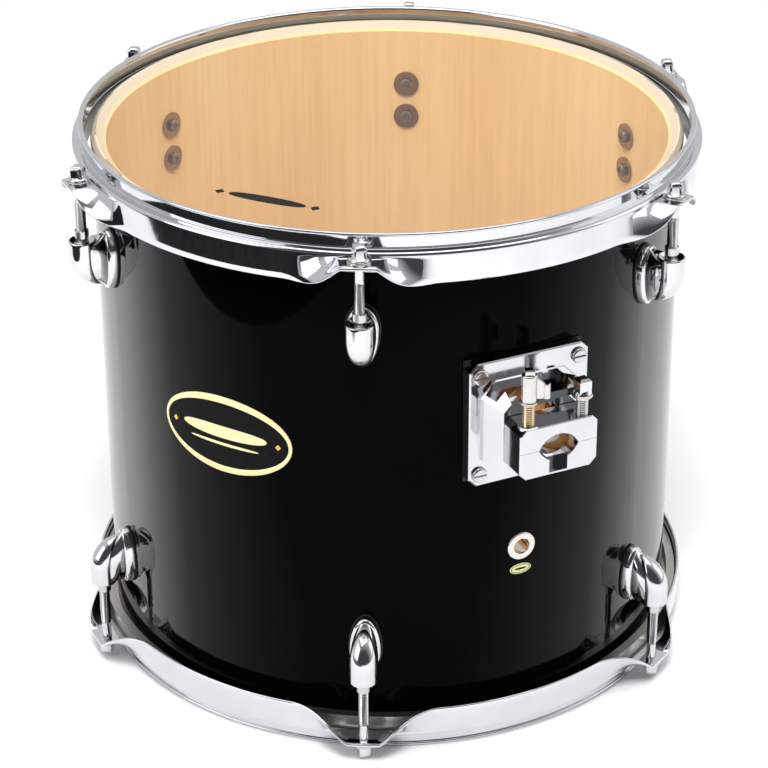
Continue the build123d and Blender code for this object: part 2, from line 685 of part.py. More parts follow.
# ---------------------------------------------------------------- the whole drum
def build():
    holes = shell_holes()
    rod = make_rod()
    rod_washer = make_rod_washer()
    casing = make_lug_casing()
    gasket = make_lug_gasket()
    nut = make_swivel_nut()
    retainer = make_nut_retainer()
    screws = make_lug_screws()
    lug_washers = make_lug_washers()
    hoop = make_hoop()
    film = make_film()
    flesh_hoop = make_flesh_hoop()
    shift = resonant_lug_extra_depth

    def both_sides(pieces):
        upper = [copy for piece in pieces for copy in around(piece, lug_angles)]
        return upper + [to_resonant(piece, shift) for piece in upper]

    nodes = {
        "shell": [make_shell(holes)],
        "shell_wrap": [make_wrap(holes)],
        "batter_film": [film],
        "resonant_film": [to_resonant(film)],
        "batter_flesh_hoop": [flesh_hoop],
        "resonant_flesh_hoop": [to_resonant(flesh_hoop)],
        "batter_hoop": [hoop],
        "resonant_hoop": [to_resonant(hoop)],
        "batter_lug_casings": around(casing, lug_angles),
        "resonant_lug_casings": [to_resonant(piece, shift) for piece in around(casing, lug_angles)],
        "lug_gaskets": both_sides([gasket]),
        "batter_swivel_nuts": around(nut, lug_angles),
        "resonant_swivel_nuts": [to_resonant(piece, shift) for piece in around(nut, lug_angles)],
        "nut_retainers": both_sides([retainer]),
        "lug_screws": both_sides(screws),
        "lug_screw_washers": both_sides(lug_washers),
    }
    for number, angle in enumerate(lug_angles, 1):
        nodes[f"batter_tension_rod_{number}"] = [Rot(0, 0, angle) * rod]
        nodes[f"batter_rod_washer_{number}"] = [Rot(0, 0, angle) * rod_washer]
        nodes[f"resonant_tension_rod_{number}"] = [to_resonant(Rot(0, 0, angle) * rod)]
        nodes[f"resonant_rod_washer_{number}"] = [to_resonant(Rot(0, 0, angle) * rod_washer)]

    front = {
        "tom_bracket": [make_bracket()],
        "bracket_gasket": [make_bracket_gasket()],
        "bracket_screws": [make_bracket_screw(*place) for place in plate_screw_places()],
        "bracket_screw_washers": [make_bracket_washer(*place) for place in plate_screw_places()],
        "bracket_screw_nuts": [make_bracket_nut(*place) for place in plate_screw_places()],
        "clamp_cap": [make_clamp_cap()],
        "wing_bolt": [make_wing_bolt()],
        "wing_bolt_washer": [make_wing_washer()],
        "key_bolt": [make_key_bolt()],
        "key_bolt_washer": [make_key_washer()],
        "vent_grommet": [make_vent_grommet()],
        "vent_grommet_ring": [make_vent_ring()],
        "vent_label": [curved_oval(label_size, label_height, 0.2)],
    }
    for name, pieces in front.items():
        nodes[name] = [Rot(0, 0, -90) * piece for piece in pieces]
    nodes["badge_plate"] = [Rot(0, 0, badge_angle) * curved_oval(badge_size, badge_height, badge_thickness)]
    return nodes


def write(nodes):
    os.makedirs("parts", exist_ok=True)
    for name, pieces in nodes.items():
        solids = [solid for piece in pieces for solid in piece.solids()]
        shape = solids[0] if len(solids) == 1 else Compound(children=solids)
        export_step(shape, f"parts/{name}.step")


write(build())
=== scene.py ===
import json
from math import cos, pi, radians, sin, sqrt

import bmesh
import bpy
import numpy as np
from mathutils import Matrix, Vector


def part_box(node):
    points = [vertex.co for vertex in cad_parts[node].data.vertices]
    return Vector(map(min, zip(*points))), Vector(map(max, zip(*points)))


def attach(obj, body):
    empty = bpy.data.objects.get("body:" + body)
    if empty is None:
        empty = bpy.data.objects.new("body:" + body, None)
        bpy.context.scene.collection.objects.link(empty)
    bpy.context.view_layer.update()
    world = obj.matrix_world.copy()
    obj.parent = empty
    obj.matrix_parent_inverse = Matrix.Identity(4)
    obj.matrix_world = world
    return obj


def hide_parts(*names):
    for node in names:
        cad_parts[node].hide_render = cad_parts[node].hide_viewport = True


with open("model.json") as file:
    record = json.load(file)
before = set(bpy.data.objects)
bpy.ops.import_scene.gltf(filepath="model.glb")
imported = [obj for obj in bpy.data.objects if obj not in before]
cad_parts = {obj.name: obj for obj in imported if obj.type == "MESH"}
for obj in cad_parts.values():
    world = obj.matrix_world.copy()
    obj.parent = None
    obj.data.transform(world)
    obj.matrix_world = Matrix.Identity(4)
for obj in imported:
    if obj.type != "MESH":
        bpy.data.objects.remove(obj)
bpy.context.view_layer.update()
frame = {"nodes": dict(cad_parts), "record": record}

# Looks of a 12 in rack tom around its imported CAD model. Metres; +Z up; the bracket faces -Y.

MM = 0.001

# ---------------------------------------------------------------- places read from the frame
shell_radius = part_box("shell_wrap")[1].x
rim_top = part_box("batter_hoop")[1].z
middle = rim_top / 2
film_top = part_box("batter_film")[1].z
rod_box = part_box("batter_tension_rod_1")
rod_circle = Vector(((rod_box[0].x + rod_box[1].x) / 2, (rod_box[0].y + rod_box[1].y) / 2)).length
badge_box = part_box("badge_plate")
badge_height = (badge_box[0].z + badge_box[1].z) / 2
badge_width = 75.4 * MM
badge_size = Vector((badge_width, badge_box[1].z - badge_box[0].z))
badge_angle = radians(-147.5)
lug_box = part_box("batter_lug_casings")
lower_lug_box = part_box("resonant_lug_casings")
lug_angles = [radians(60.0 * k - 120.0) for k in range(6)]

# ---------------------------------------------------------------- shader helpers


class Shader:
    """A node material, built one node at a time."""

    def __init__(self, name):
        self.material = bpy.data.materials.new(name)
        self.material.use_nodes = True
        self.tree = self.material.node_tree
        self.bsdf = self.tree.nodes["Principled BSDF"]
        self.place = self.add("ShaderNodeTexCoord").outputs["Object"]

    def add(self, kind, **values):
        node = self.tree.nodes.new(kind)
        for key, value in values.items():
            setattr(node, key, value)
        return node

    def link(self, source, target):
        self.tree.links.new(source, target)

    def set(self, **values):
        for key, value in values.items():
            self.bsdf.inputs[key.replace("_", " ")].default_value = value

    def noise(self, scale, detail=3.0, rough=0.5, stretch=None):
        node = self.add("ShaderNodeTexNoise")
        node.inputs["Scale"].default_value = scale
        node.inputs["Detail"].default_value = detail
        node.inputs["Roughness"].default_value = rough
        self.link(self.stretched(stretch), node.inputs["Vector"])
        return node.outputs["Fac"]

    def stretched(self, stretch):
        if stretch is None:
            return self.place
        mapping = self.add("ShaderNodeMapping")
        mapping.inputs["Scale"].default_value = stretch
        self.link(self.place, mapping.inputs["Vector"])
        return mapping.outputs["Vector"]

    def ramp(self, value, stops):
        """Colour from a value; stops are (position, colour), and a number is a grey."""
        node = self.add("ShaderNodeValToRGB")
        elements = node.color_ramp.elements
        while len(elements) < len(stops):
            elements.new(0.5)
        for element, (position, colour) in zip(elements, stops):
            element.position = position
            colour = (colour,) * 3 if isinstance(colour, (int, float)) else colour
            element.color = (*colour, 1.0)
        self.link(value, node.inputs["Fac"])
        return node.outputs["Color"]

    def mix(self, factor, a, b, mode="MIX"):
        node = self.add("ShaderNodeMix", data_type="RGBA", blend_type=mode)
        for key, value in (("Factor", factor), ("A", a), ("B", b)):
            socket = node.inputs[key]
            if hasattr(value, "node"):
                self.link(value, socket)
            else:
                socket.default_value = (*value, 1.0) if isinstance(value, tuple) else value
        return node.outputs["Result"]

    def math(self, operation, a, b=0.0):
        node = self.add("ShaderNodeMath", operation=operation)
        for socket, value in zip(node.inputs, (a, b)):
            if hasattr(value, "node"):
                self.link(value, socket)
            else:
                socket.default_value = value
        return node.outputs["Value"]

    def bump(self, height, distance, strength=1.0, after=None):
        node = self.add("ShaderNodeBump")
        node.inputs["Strength"].default_value = strength
        node.inputs["Distance"].default_value = distance
        self.link(height, node.inputs["Height"])
        if after is not None:
            self.link(after, node.inputs["Normal"])
        self.link(node.outputs["Normal"], self.bsdf.inputs["Normal"])
        return node.outputs["Normal"]

    def colour(self, socket):
        self.link(socket, self.bsdf.inputs["Base Color"])

    def roughness(self, socket):
        self.link(socket, self.bsdf.inputs["Roughness"])


def chrome(name, tint, low, high, ripple=0.0):
    """Plated metal: a faint cloud in its tint, fine polishing marks and, on castings, a slow ripple."""
    s = Shader(name)
    s.set(Metallic=1.0)
    dull = tuple(0.93 * c for c in tint)
    s.colour(s.ramp(s.noise(55.0, 4.0), [(0.3, dull), (0.7, tint)]))
    s.roughness(s.ramp(s.noise(420.0, 5.0, 0.6, (1.0, 1.0, 0.25)), [(0.35, low), (0.75, high)]))
    marks = s.bump(s.noise(2400.0, 2.0), 0.004 * MM, 0.4)
    if ripple:
        s.bump(s.noise(70.0, 1.0), ripple, 0.6, after=marks)
    return s.material


def gloss_black():
    """Polished black wrap, with the faintest orange peel and a few hairlines."""
    s = Shader("gloss_wrap")
    glance = s.add("ShaderNodeLayerWeight")
    glance.inputs["Blend"].default_value = 0.5
    # the shine grows from almost nothing, seen square on, to full at a glance
    shine = [(0.0, 0.012), (0.2, 0.02), (0.32, 0.07), (0.43, 0.13), (0.53, 0.38), (0.62, 0.75), (0.72, 1.0)]
    s.link(s.ramp(glance.outputs["Facing"], shine), s.bsdf.inputs["Specular IOR Level"])
    s.colour(s.ramp(s.noise(9.0, 3.0), [(0.3, 0.0008), (0.7, 0.0014)]))
    hairlines = s.ramp(s.noise(140.0, 6.0, 0.7, (1.0, 1.0, 0.06)), [(0.55, 0.035), (0.8, 0.075)])
    s.roughness(hairlines)
    s.bump(s.noise(38.0, 1.0), 0.02 * MM, 0.25)
    return s.material


def veneer():
    """Pale wood, lacquered: upright grain, soft figure, and a cream band along the bearing edges."""
    s = Shader("birch_ply")
    s.set(Coat_Weight=0.25, Coat_Roughness=0.25, Specular_IOR_Level=0.35)
    figure = s.noise(14.0, 5.0, 0.55, (1.0, 1.0, 0.22))
    fibres = s.noise(320.0, 6.0, 0.65, (1.0, 1.0, 0.03))
    tones = [(0.30, (0.84, 0.53, 0.22)), (0.52, (0.90, 0.60, 0.27)), (0.72, (0.92, 0.66, 0.33))]
    base = s.ramp(figure, tones)
    streaks = s.ramp(fibres, [(0.35, (0.80, 0.78, 0.74)), (0.62, (1.0, 1.0, 1.0))])
    wood = s.mix(0.35, base, streaks, "MULTIPLY")
    parts = s.add("ShaderNodeSeparateXYZ")
    s.link(s.place, parts.inputs["Vector"])
    # painted shade: the wood is darkened away from the batter head, towards the resonant side, for the
    # shade low inside the drum
    depth = s.math("DIVIDE", parts.outputs["Z"], rim_top)
    painted_shade = s.ramp(depth, [(0.24, (0.30, 0.13, 0.04)), (0.48, (1.0, 1.0, 1.0))])
    wood = s.mix(1.0, wood, painted_shade, "MULTIPLY")
    bare_band = 3.6 * MM
    from_middle = s.math("ABSOLUTE", s.math("SUBTRACT", parts.outputs["Z"], middle))
    edge = s.math("GREATER_THAN", from_middle, film_top - middle - bare_band)
    s.colour(s.mix(edge, wood, (0.60, 0.50, 0.36)))
    s.roughness(s.ramp(fibres, [(0.3, 0.34), (0.7, 0.5)]))
    s.bump(fibres, 0.03 * MM, 0.5)
    return s.material


def clear_film():
    """Clear polyester: almost invisible seen square on, brighter and glossier at a glance."""
    s = Shader("clear_film")
    s.set(Specular_IOR_Level=0.5)
    s.colour(s.ramp(s.noise(30.0, 3.0), [(0.3, (0.93, 0.94, 0.95)), (0.7, (0.97, 0.98, 0.98))]))
    s.roughness(s.ramp(s.noise(90.0, 4.0), [(0.3, 0.05), (0.8, 0.11)]))
    glance = s.add("ShaderNodeLayerWeight")
    glance.inputs["Blend"].default_value = 0.28
    alpha = s.ramp(glance.outputs["Facing"], [(0.0, 0.02), (0.62, 0.035), (0.9, 0.14), (1.0, 0.5)])
    s.link(alpha, s.bsdf.inputs["Alpha"])
    s.bump(s.noise(18.0, 2.0), 0.05 * MM, 0.3)
    return s.material


def mottled(name, dark, light, rough, scale, relief, metallic=0.0, specular=0.5):
    """A plain material with a grain: rubber, moulded plastic, ink or blackened steel."""
    s = Shader(name)
    s.set(Metallic=metallic, Specular_IOR_Level=specular)
    grain = s.noise(scale, 5.0, 0.6)
    s.colour(s.ramp(grain, [(0.3, dark), (0.7, light)]))
    s.roughness(s.ramp(grain, [(0.3, rough[0]), (0.7, rough[1])]))
    s.bump(grain, relief, 0.6)
    return s.material


def grey(level):
    return (level,) * 3


materials = {
    "birch_ply": veneer(),
    "gloss_wrap": gloss_black(),
    "clear_film": clear_film(),
    "flesh_hoop_aluminium": chrome("flesh_hoop_aluminium", (0.55, 0.54, 0.52), 0.28, 0.42),
    "hoop_chrome": chrome("hoop_chrome", (0.69, 0.70, 0.73), 0.035, 0.085),
    "lug_chrome": chrome("lug_chrome", (0.68, 0.69, 0.70), 0.04, 0.10, 0.04 * MM),
    "gasket_rubber": mottled("gasket_rubber", grey(0.004), grey(0.012), (0.5, 0.75), 900.0, 0.02 * MM),
    "nut_steel": chrome("nut_steel", (0.60, 0.59, 0.58), 0.12, 0.22),
    "retainer_plastic": mottled(
        "retainer_plastic", grey(0.01), grey(0.02), (0.4, 0.6), 700.0, 0.02 * MM),
    "dark_steel": mottled(
        "dark_steel", (0.20, 0.16, 0.12), (0.34, 0.29, 0.23), (0.25, 0.5), 800.0, 0.01 * MM, metallic=1.0),
    "washer_steel": chrome("washer_steel", (0.52, 0.50, 0.48), 0.16, 0.32),
    "bracket_chrome": chrome("bracket_chrome", (0.62, 0.63, 0.65), 0.05, 0.13, 0.05 * MM),
    "screw_chrome": chrome("screw_chrome", (0.58, 0.58, 0.59), 0.12, 0.22),
    "wing_steel": chrome("wing_steel", (0.62, 0.61, 0.59), 0.10, 0.22),
    "rod_chrome": chrome("rod_chrome", (0.66, 0.66, 0.67), 0.07, 0.16),
    "vent_chrome": chrome("vent_chrome", (0.68, 0.66, 0.64), 0.06, 0.14),
    "label_print": mottled(
        "label_print", (0.78, 0.74, 0.34), (0.84, 0.80, 0.44), (0.3, 0.45), 600.0, 0.005 * MM),
    "badge_enamel": mottled(
        "badge_enamel", grey(0.004), grey(0.008), (0.12, 0.25), 500.0, 0.01 * MM, specular=0.05),
}
pale_gold = mottled("pale_gold", (0.84, 0.72, 0.36), (0.92, 0.80, 0.46), (0.3, 0.45), 900.0, 0.006 * MM)
deep_gold = mottled("deep_gold", (0.80, 0.42, 0.05), (0.92, 0.55, 0.10), (0.25, 0.4), 900.0, 0.006 * MM)
brass_thread = chrome("brass_thread", (0.80, 0.62, 0.40), 0.14, 0.28)
black_ink = mottled("black_ink", grey(0.004), grey(0.010), (0.35, 0.55), 1200.0, 0.003 * MM, specular=0.1)
inner_washer = chrome("inner_washer", (0.36, 0.25, 0.16), 0.16, 0.32)


def paint_nodes():
    """Each CAD node that stays gets the material of its slot."""
    for part in frame["record"]["subparts"]:
        mesh = frame["nodes"][part["node"]].data
        mesh.materials.clear()
        tinted = part["node"] == "lug_screw_washers"
        mesh.materials.append(inner_washer if tinted else materials[part["material_slot"]])


# ---------------------------------------------------------------- mesh helpers


def grid_mesh(name, points, close_rows=False, cap_first=False, cap_last=False, crease=32.0):
    """A mesh over rows of points, each row a closed ring; edges sharper than crease degrees stay sharp."""
    points = np.asarray(points, float)
    rows, columns = points.shape[:2]
    faces = []
    for i in range(rows if close_rows else rows - 1):
        for j in range(columns):
            a, b = i * columns + j, i * columns + (j + 1) % columns
            step = ((i + 1) % rows - i) * columns
            faces.append((a, b, b + step, a + step))
    if cap_first:
        faces.append(tuple(range(columns - 1, -1, -1)))
    if cap_last:
        faces.append(tuple((rows - 1) * columns + j for j in range(columns)))
    mesh = bpy.data.meshes.new(name)
    mesh.from_pydata(points.reshape(-1, 3).tolist(), [], faces)
    mesh.update()
    finish_mesh(mesh, crease)
    return mesh


def finish_mesh(mesh, crease):
    """Outward faces, smooth shading with sharp edges kept."""
    work = bmesh.new()
    work.from_mesh(mesh)
    bmesh.ops.remove_doubles(work, verts=work.verts, dist=1e-7)
    bmesh.ops.recalc_face_normals(work, faces=work.faces)
    work.to_mesh(mesh)
    work.free()
    mesh.shade_smooth()
    mesh.set_sharp_from_angle(angle=radians(crease))


def joined(name, meshes, crease=32.0):
    """One mesh out of several."""
    work = bmesh.new()
    for mesh in meshes:
        work.from_mesh(mesh)
    result = bpy.data.meshes.new(name)
    work.to_mesh(result)
    work.free()
    result.shade_smooth()
    result.set_sharp_from_angle(angle=radians(crease))
    return result


def moved(mesh, matrix, flip=False):
    """A copy of a mesh, moved; flip turns its faces back out after a mirror."""
    copy = mesh.copy()
    copy.transform(matrix)
    if flip:
        copy.flip_normals()
    return copy


def piece(name, mesh, material, body, replaces=()):
    obj = bpy.data.objects.new(name, mesh)
    bpy.context.scene.collection.objects.link(obj)
    mesh.materials.clear()
    mesh.materials.append(material)
    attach(obj, body)
    if replaces:
        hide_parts(*replaces)
    return obj


MIRROR = Matrix.Translation((0, 0, 2 * middle)) @ Matrix.Scale(-1, 4, (0, 0, 1))
LOWER_SHIFT = lower_lug_box[0].z - (2 * middle - lug_box[1].z)


def at_angle(angle):
    return Matrix.Rotation(angle, 4, "Z")


def rounded_path(corners, radii, steps=5):
    """The corners of an open line, each turned into a short arc; always the same number of points."""
    corners = [np.array(c, float) for c in corners]
    points = [corners[0]]
    for k in range(1, len(corners) - 1):
        before = corners[k - 1] - corners[k]
        after = corners[k + 1] - corners[k]
        length = min(radii[k - 1], 0.49 * np.linalg.norm(before), 0.49 * np.linalg.norm(after))
        a = corners[k] + before / np.linalg.norm(before) * length
        b = corners[k] + after / np.linalg.norm(after) * length
        for t in np.linspace(0.0, 1.0, steps):
            points.append((1 - t) ** 2 * a + 2 * t * (1 - t) * corners[k] + t * t * b)
    points.append(corners[-1])
    return np.array(points)


def thickened(line, thickness, end_points=3, end_bulge=0.55):
    """A closed outline round an open line: a bent strip of sheet metal with rounded ends."""
    tangent = np.gradient(line, axis=0)
    tangent /= np.linalg.norm(tangent, axis=1)[:, None]
    normal = np.stack([-tangent[:, 1], tangent[:, 0]], axis=1)
    half = thickness / 2
    one = line + half * normal
    other = line - half * normal

    def cap(centre, direction, across):
        turns = np.linspace(0.0, pi, end_points + 2)[1:-1]
        bulge = half * end_bulge
        return [centre + bulge * sin(t) * direction + half * cos(t) * across for t in turns]

    end = cap(line[-1], tangent[-1], normal[-1])
    start = cap(line[0], -tangent[0], -normal[0])
    return np.vstack([one, end, other[::-1], start])


# ---------------------------------------------------------------- hoops
hoop_metal = 1.6 * MM
hoop_bends = (0.75 * MM, 1.6 * MM, 1.9 * MM, 0.95 * MM)
rim_centre = 156.5 * MM
rim_edge = 158.0 * MM
hinge_radius = 161.1 * MM
shoulder_centre = 8.9 * MM
hinge_depth = 11.0 * MM
flange_length = 12.8 * MM
ear_half_width = 7.0 * MM
ear_blend = 38.0 * MM
ear_start = 0.08
ear_settling = 1.8


def ear_tilt(arc):
    """How far the flange hangs below level: 0 at a rod, a quarter turn between the ears."""
    part = min(max((abs(arc) - ear_half_width) / (ear_blend - ear_half_width), 0.0), 1.0)
    eased = part * part * (1 + ear_start) / (part + ear_start)
    return pi / 2 * (1.0 - (1.0 - eased) ** ear_settling)


def hoop_section(arc):
    """The pressing's outline as (radius, depth below the rim), at an arc's length from the nearest rod."""
    tilt = ear_tilt(arc)
    corners = [
        (rim_edge, hoop_metal / 2),
        (rim_centre, hoop_metal / 2),
        (rim_centre, shoulder_centre),
        (hinge_radius, shoulder_centre),
        (hinge_radius, hinge_depth),
        (hinge_radius + flange_length * cos(tilt), hinge_depth + flange_length * sin(tilt)),
    ]
    line = rounded_path(corners, hoop_bends, 6)
    flange = [line[-2] + (line[-1] - line[-2]) * t for t in (0.25, 0.5, 0.75)]
    line = np.vstack([line[:-1], flange, line[-1:]])
    return thickened(line, hoop_metal)


def hoop_mesh():
    sector = 2 * pi / len(lug_angles)
    half = sector / 2 * hinge_radius
    ear_end = ear_blend + 2 * MM
    near = np.linspace(0.0, ear_end, 44)
    far = np.linspace(ear_end, half, 12)[1:]
    side = np.concatenate([near, far])
    arcs = np.concatenate([-side[:0:-1], side[:-1]])
    columns = []
    for angle in lug_angles:
        for arc in arcs:
            turn = angle + arc / hinge_radius
            section = hoop_section(arc)
            columns.append([(r * cos(turn), r * sin(turn), rim_top - depth) for r, depth in section])
    return grid_mesh("batter_hoop_pressing", columns, close_rows=True, crease=60.0)


def make_hoops():
    mesh = hoop_mesh()
    piece("batter_hoop_pressing", mesh, materials["hoop_chrome"], "drum", ["batter_hoop"])
    lower = moved(mesh, MIRROR, flip=True)
    metal = materials["hoop_chrome"]
    piece("resonant_hoop_pressing", lower, metal, "drum", ["resonant_hoop"])


# ---------------------------------------------------------------- tension rods
thread_pitch = 25.4 * MM / 24
thread_root = 2.28 * MM
thread_crest = 2.72 * MM
thread_length = 34.0 * MM
shank_radius = 2.4 * MM
rod_reach = 45.0 * MM
rod_flange_thickness = 1.5 * MM
key_square = 6.35 * MM
head_softness = 9.0


def lathe_ring(radius, height, count):
    turns = [2 * pi * j / count for j in range(count)]
    return [(radius * cos(turn), radius * sin(turn), height) for turn in turns]


def square_ring(half, height, count, softness):
    """A rounded square, as one ring of points; a higher softness number makes its corners sharper."""
    ring = []
    for j in range(count):
        turn = 2 * pi * (j + 0.5) / count
        radius = half / (abs(cos(turn)) ** softness + abs(sin(turn)) ** softness) ** (1.0 / softness)
        ring.append((radius * cos(turn), radius * sin(turn), height))
    return ring


def thread_rings(root, crest, low, high, pitch, count, per_pitch=6):
    """Rings down a screw thread, whose ridge follows a helix and fades out at both ends."""
    rings = []
    steps = int((high - low) / pitch * per_pitch)
    for k in range(steps + 1):
        z = high - (high - low) * k / steps
        fade = min(1.0, (high - z) / (1.2 * pitch), (z - low) / (0.8 * pitch) + 0.15)
        ring = []
        for j in range(count):
            turn = 2 * pi * j / count
            phase = (z / pitch + turn / (2 * pi)) % 1.0
            ridge = 1.0 - abs(2.0 * phase - 1.0)
            radius = root + (crest - root) * fade * min(1.0, 1.25 * ridge)
            ring.append((radius * cos(turn), radius * sin(turn), z))
        rings.append(ring)
    return rings


def rod_mesh():
    count = 32
    top = rod_box[1].z
    foot = rod_box[0].z
    seat = foot + rod_reach
    flange_top = seat + rod_flange_thickness
    half = key_square / 2
    # the flange's rounded edge and the step in to the shank, as (radius, height above the seat)
    flange = ((3.9, 1.5), (4.5, 1.3), (5.0, 0.85), (5.1, 0.45), (4.95, 0.0), (2.75, 0.0), (2.4, -0.5))
    rings = [square_ring(0.4 * half, top, count, 2.4)]
    for inset, drop in ((0.62, 0.12), (0.80, 0.5), (0.93, 1.1), (1.0, 1.9)):
        rings.append(square_ring(inset * half, top - drop * MM, count, head_softness))
    rings.append(square_ring(half, flange_top + 0.35 * MM, count, head_softness))
    for radius, height in flange:
        rings.append(lathe_ring(radius * MM, seat + height * MM, count))
    thread_top = foot + thread_length
    rings.append(lathe_ring(shank_radius, thread_top + 0.4 * MM, count))
    rings += thread_rings(thread_root, thread_crest, foot + 0.5 * MM, thread_top, thread_pitch, count)
    rings.append(lathe_ring(1.9 * MM, foot, count))
    return grid_mesh("tension_rod", rings, cap_first=True, cap_last=True, crease=38.0)


def make_rods():
    base = rod_mesh()
    for number, angle in enumerate(lug_angles, 1):
        stand = at_angle(angle) @ Matrix.Translation((rod_circle, 0, 0))
        # each rod stopped at its own turn when the head was tuned
        stand = stand @ Matrix.Rotation(radians(23.0 * number), 4, "Z")
        upper = moved(base, stand)
        lower = moved(base, MIRROR @ stand, flip=True)
        for side, mesh in (("batter", upper), ("resonant", lower)):
            name = f"{side}_rod_threaded_{number}"
            body = f"{side}_rod_{number}"
            replaced = [f"{side}_tension_rod_{number}"]
            rod = piece(name, mesh, materials["rod_chrome"], body, replaced)
            rod.data.name = rod.name


# ---------------------------------------------------------------- lugs
lug_back = shell_radius + 0.8 * MM
lug_top = lug_box[1].z
lug_tip = lug_box[0].z
foot_half = 8.15 * MM
foot_blunt = 12.5 * MM
foot_front = 157.6 * MM
bullet_radius = 7.0 * MM
bullet_rim = rim_top - 41.0 * MM
bullet_waist = rim_top - 49.5 * MM
bullet_tip = rim_top - 66.5 * MM
bullet_tip_distance = 158.6 * MM
bullet_hole = 3.45 * MM
dish_edge = 6.2 * MM
dish_depth = 2.0 * MM
neck_inset = 1.5 * MM
neck_margin = 0.9 * MM
neck_sink = 0.4 * MM
neck_squareness = 0.34
neck_swell = 0.05


def almond(turn, inset=0.0):
    """Point of the lug's foot outline, in tangent and height: blunt above, drawn out below."""
    widest = lug_top - foot_blunt
    reach = (lug_top - widest if sin(turn) >= 0 else widest - lug_tip) - inset
    return (foot_half - inset) * cos(turn), widest + reach * sin(turn)


def foot_mesh():
    count = 72
    rows = []
    # (inset from the outline, distance from the axis): from the shell up over a rounded edge
    steps = ((0.0, None), (0.0, 155.6), (0.25, 156.5), (0.8, 157.2), (1.7, 157.55), (3.2, 157.6))
    for inset, distance in steps:
        row = []
        for j in range(count):
            y, z = almond(2 * pi * j / count, inset * MM)
            x = sqrt(lug_back**2 - y * y) if distance is None else distance * MM
            row.append((x, y, z))
        rows.append(row)
    return grid_mesh("lug_foot", rows, cap_last=True, crease=50.0)


def bullet_section(z):
    """Radius and centre distance of the bullet at a height: below its waist it leans in to the foot."""
    part = min(max((bullet_waist - z) / (bullet_waist - bullet_tip), 0.0), 1.0)
    shrink = sqrt(1.0 - part * part)
    return bullet_radius * shrink, bullet_tip_distance + (rod_circle - bullet_tip_distance) * shrink


def bullet_mesh():
    count = 64
    dish_floor = bullet_rim - dish_depth
    profile = [(bullet_hole, dish_floor - 2.0 * MM), (bullet_hole, dish_floor + 0.25 * MM)]
    for t in np.linspace(0.0, 1.0, 7):
        radius = bullet_hole + (dish_edge - bullet_hole) * t
        profile.append((radius, bullet_rim - dish_depth * (1 - t**2) * 0.9))
    # the lip, as (radius, depth below the rim)
    for radius, depth in ((6.45, 0.0), (6.75, 0.08), (6.95, 0.35), (7.0, 0.8)):
        profile.append((radius * MM, bullet_rim - depth * MM))
    profile += [(bullet_radius, z) for z in np.linspace(bullet_rim - 1.6 * MM, bullet_waist, 4)]
    for t in np.linspace(0.06, 0.995, 16):
        z = bullet_waist + (bullet_tip - bullet_waist) * sin(t * pi / 2)
        profile.append((bullet_section(z)[0], z))
    rings = []
    for radius, z in profile:
        centre = bullet_section(z)[1]
        turns = np.linspace(0, 2 * pi, count, endpoint=False)
        rings.append([(centre + radius * cos(a), radius * sin(a), z) for a in turns])
    return grid_mesh("lug_bullet", rings, cap_last=True, crease=42.0)


def neck_outline(turn, t):
    """Section of the neck, from the foot (t 0) to the bullet (t 1), in tangent and height."""
    start_y, start_z = almond(turn, neck_inset)
    c, s = cos(turn), sin(turn)
    power = neck_squareness if s > 0 else 1.0
    above = bullet_rim - neck_margin - bullet_waist
    below = bullet_waist - bullet_tip - neck_margin
    reach = above if s > 0 else below
    end_y = (bullet_radius - 0.25 * MM) * (abs(c) ** power) * (1 if c >= 0 else -1)
    end_z = bullet_waist + reach * (abs(s) ** power) * (1 if s >= 0 else -1)
    swell = 1.0 + neck_swell * sin(pi * t)
    return ((1 - t) * start_y + t * end_y) * swell, (1 - t) * start_z + t * end_z


def neck_mesh():
    """The neck runs from just inside the foot's face to just inside the bullet."""
    count = 72
    start_x = foot_front - neck_sink
    rows = []
    for t in np.linspace(0.0, 1.0, 15):
        row = []
        for j in range(count):
            turn = 2 * pi * j / count
            y, z = neck_outline(turn, t)
            end_y, end_z = neck_outline(turn, 1.0)
            width, centre = bullet_section(end_z)
            end_x = centre - sqrt(max(width**2 - end_y**2, 0.0)) + 0.35 * MM
            row.append((start_x + (end_x - start_x) * t, y, z))
        rows.append(row)
    return grid_mesh("lug_neck", rows, crease=55.0)


def make_lugs():
    lug = joined("lug", [foot_mesh(), neck_mesh(), bullet_mesh()], crease=50.0)
    shift = Matrix.Translation((0, 0, LOWER_SHIFT))
    metal = materials["lug_chrome"]
    for number, angle in enumerate(lug_angles, 1):
        turn = at_angle(angle)
        upper = moved(lug, turn)
        lower = moved(lug, shift @ MIRROR @ turn, flip=True)
        for side, mesh in (("batter", upper), ("resonant", lower)):
            name = f"{side}_lug_{number}"
            piece(name, mesh, metal, "drum", [f"{side}_lug_casings"])


# ---------------------------------------------------------------- badge, label, head print


def on_shell(angle, u, z, radius):
    turn = angle + u / shell_radius
    return (radius * cos(turn), radius * sin(turn), z)


def oval_rings(angle, height, rings, count=96):
    """A raised oval on the wrap: rings are (half width, half height, proud)."""
    rows = []
    for half_u, half_z, proud in rings:
        turns = np.linspace(0, 2 * pi, count, endpoint=False)
        places = [(half_u * cos(t), height + half_z * sin(t)) for t in turns]
        rows.append([on_shell(angle, u, z, shell_radius + proud) for u, z in places])
    return rows


def bar_half(half, along, ends):
    """Half width of a bar at a place along it, from -1 to 1, never quite nothing at its tips."""
    return half * max(1.0 - abs(along) ** (1.0 / ends), 0.002) ** ends


